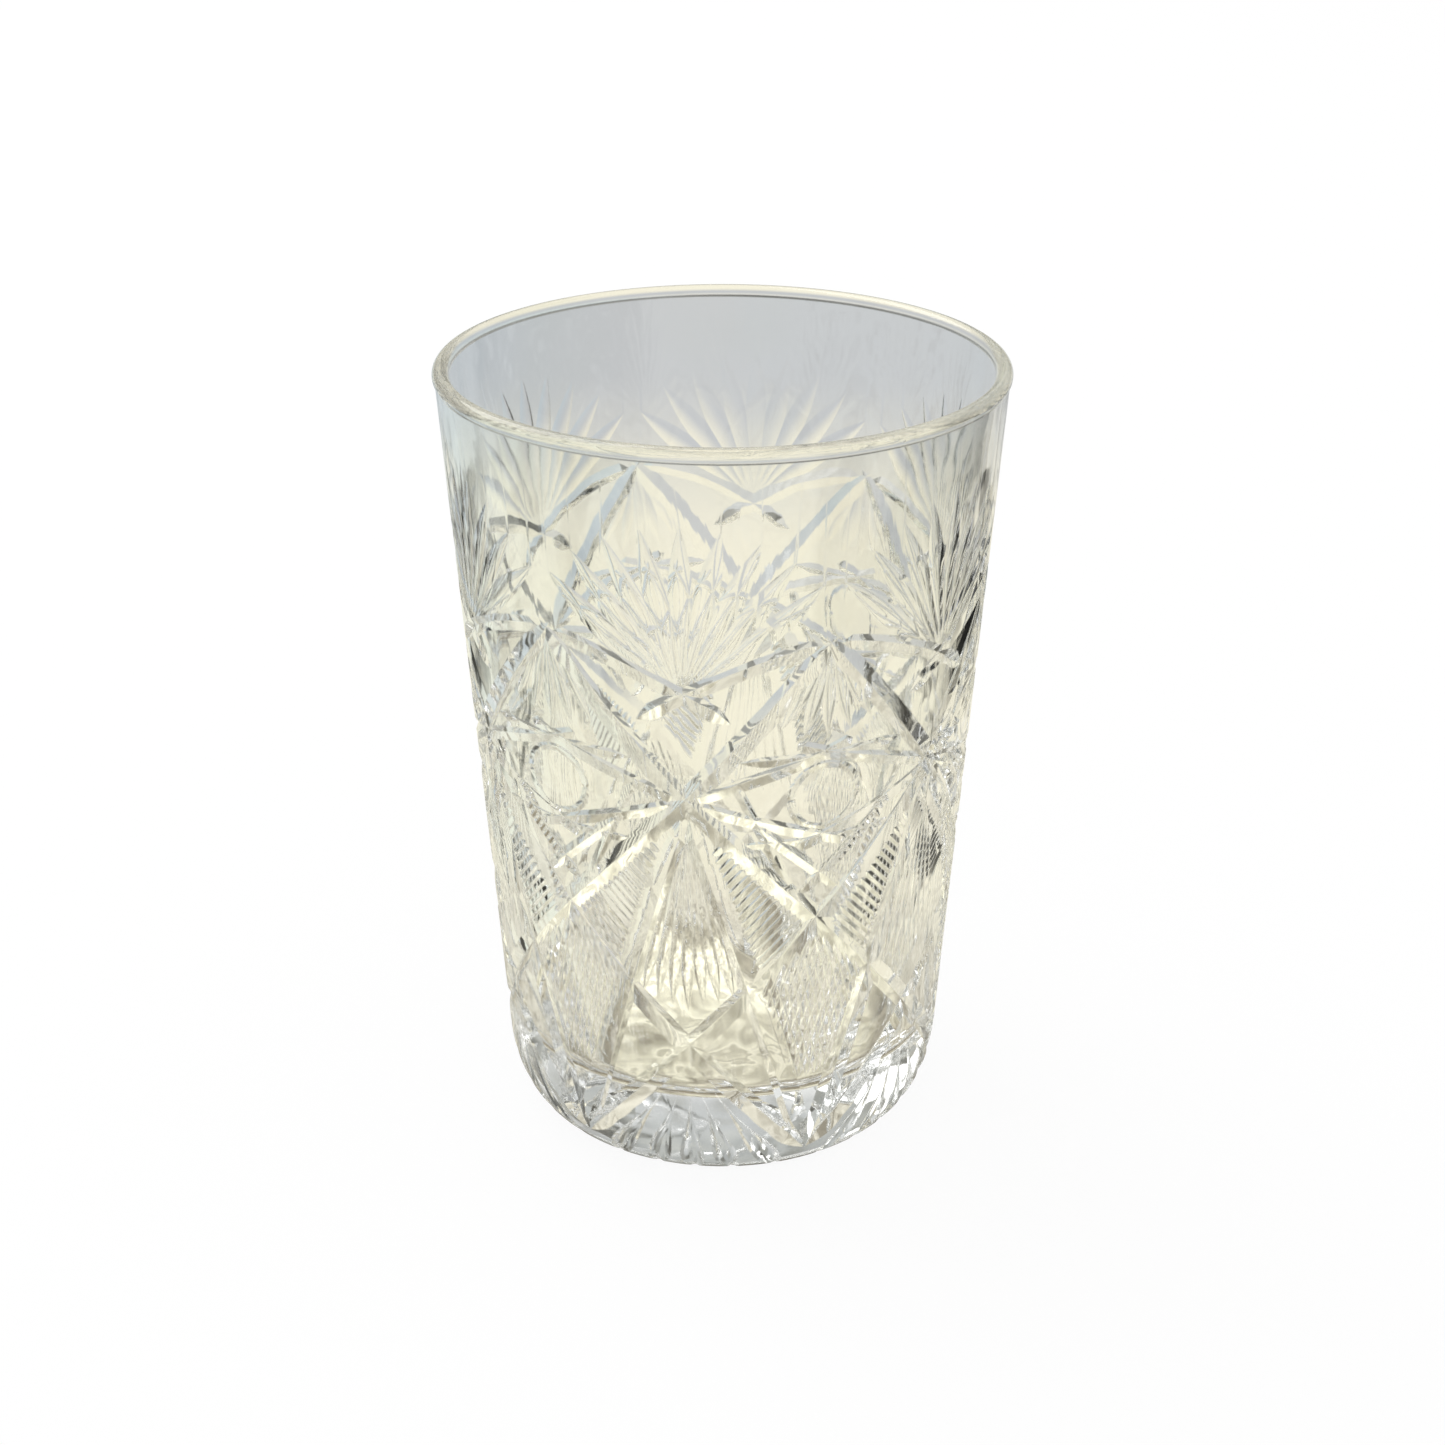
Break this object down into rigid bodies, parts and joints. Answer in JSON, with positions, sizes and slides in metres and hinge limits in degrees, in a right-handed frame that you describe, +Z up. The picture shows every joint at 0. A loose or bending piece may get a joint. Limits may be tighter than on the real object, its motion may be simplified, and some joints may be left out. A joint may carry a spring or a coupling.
{
  "type": "cut glass tea tumbler",
  "caption": "Clear cut-crystal tea tumbler, slightly tapered, with a thick base and wheel-cut fans, diamonds, stars and hatching under a plain rim.",
  "frame": {"origin": "centre of the base, on the surface that the glass stands on", "axes": "+Z up along the axis of the glass, -Y towards a star hub of the cut pattern"},
  "size_m": [0.072, 0.072, 0.104],
  "materials": {
    "crystal": "polished clear lead crystal"
  },
  "bodies": {
    "root": {"cut_glass_tumbler": "crystal"}
  },
  "joints": []
}
